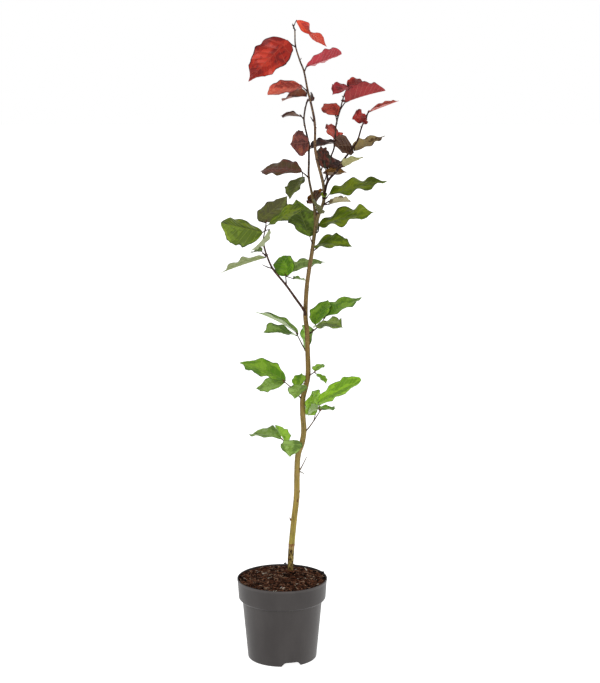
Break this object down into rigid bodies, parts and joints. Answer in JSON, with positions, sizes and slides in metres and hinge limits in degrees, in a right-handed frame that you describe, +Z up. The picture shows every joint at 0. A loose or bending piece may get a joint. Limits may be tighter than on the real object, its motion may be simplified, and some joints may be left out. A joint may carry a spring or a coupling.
{
  "type": "potted young copper beech tree",
  "caption": "Young copper beech whip with a slim leaning stem, thin side shoots and loose leaves turning from green below to bronze and red above, in a filled round plastic nursery pot.",
  "frame": {"origin": "middle of the pot's flat underside", "axes": "+Z up the stem, -Y towards the side that is seen from the front, +X to the right of that view"},
  "size_m": [0.3187, 0.2045, 1.2007],
  "materials": {
    "pot_plastic": "thin dark grey moulded plastic with a soft sheen",
    "compost": "moist dark brown bark compost, rough and crumbly",
    "stem_bark": "smooth young bark, olive tan low down and warmer brown above",
    "shoot_bark": "smooth dark maroon brown bark of this year's shoots",
    "leaf_green": "soft satin green beech leaf, paler beneath",
    "leaf_bronze": "satin bronze to maroon beech leaf, greyer beneath",
    "leaf_red": "glossier young scarlet to crimson beech leaf"
  },
  "bodies": {
    "root": {"pot": "pot_plastic", "compost": "compost", "trunk": "stem_bark", "bough_left_low": "shoot_bark", "bough_left_leader": "shoot_bark", "bough_right": "shoot_bark", "bough_middle": "shoot_bark", "foliage_foot_left": "leaf_green", "foliage_low_right": "leaf_green", "foliage_low_left": "leaf_green", "foliage_small_right": "leaf_green", "foliage_mid_left": "leaf_green", "foliage_mid_right": "leaf_green", "foliage_left_spur": "leaf_green", "foliage_left_tip": "leaf_green", "foliage_left_side": "leaf_green", "foliage_trunk_right": "leaf_green", "foliage_trunk_left": "leaf_green", "foliage_spur_right": "leaf_green", "foliage_fork_right": "leaf_green", "foliage_dry": "leaf_bronze", "foliage_fork": "leaf_bronze", "foliage_fork_front": "leaf_bronze", "foliage_leader_foot": "leaf_bronze", "foliage_leader_low": "leaf_bronze", "foliage_leader_mid": "leaf_bronze", "foliage_leader_high": "leaf_bronze", "foliage_leader_tip": "leaf_bronze", "foliage_crown_neck": "leaf_red", "foliage_crown_top": "leaf_red", "foliage_crown_left": "leaf_red", "foliage_crown_right": "leaf_red", "foliage_centre": "leaf_bronze", "foliage_right_low": "leaf_bronze", "foliage_right_mid": "leaf_bronze", "foliage_right_inner": "leaf_bronze", "foliage_right_tip": "leaf_red", "foliage_middle_low": "leaf_red", "foliage_middle_mid": "leaf_red", "foliage_middle_high": "leaf_red", "foliage_middle_tip": "leaf_red"}
  },
  "joints": []
}
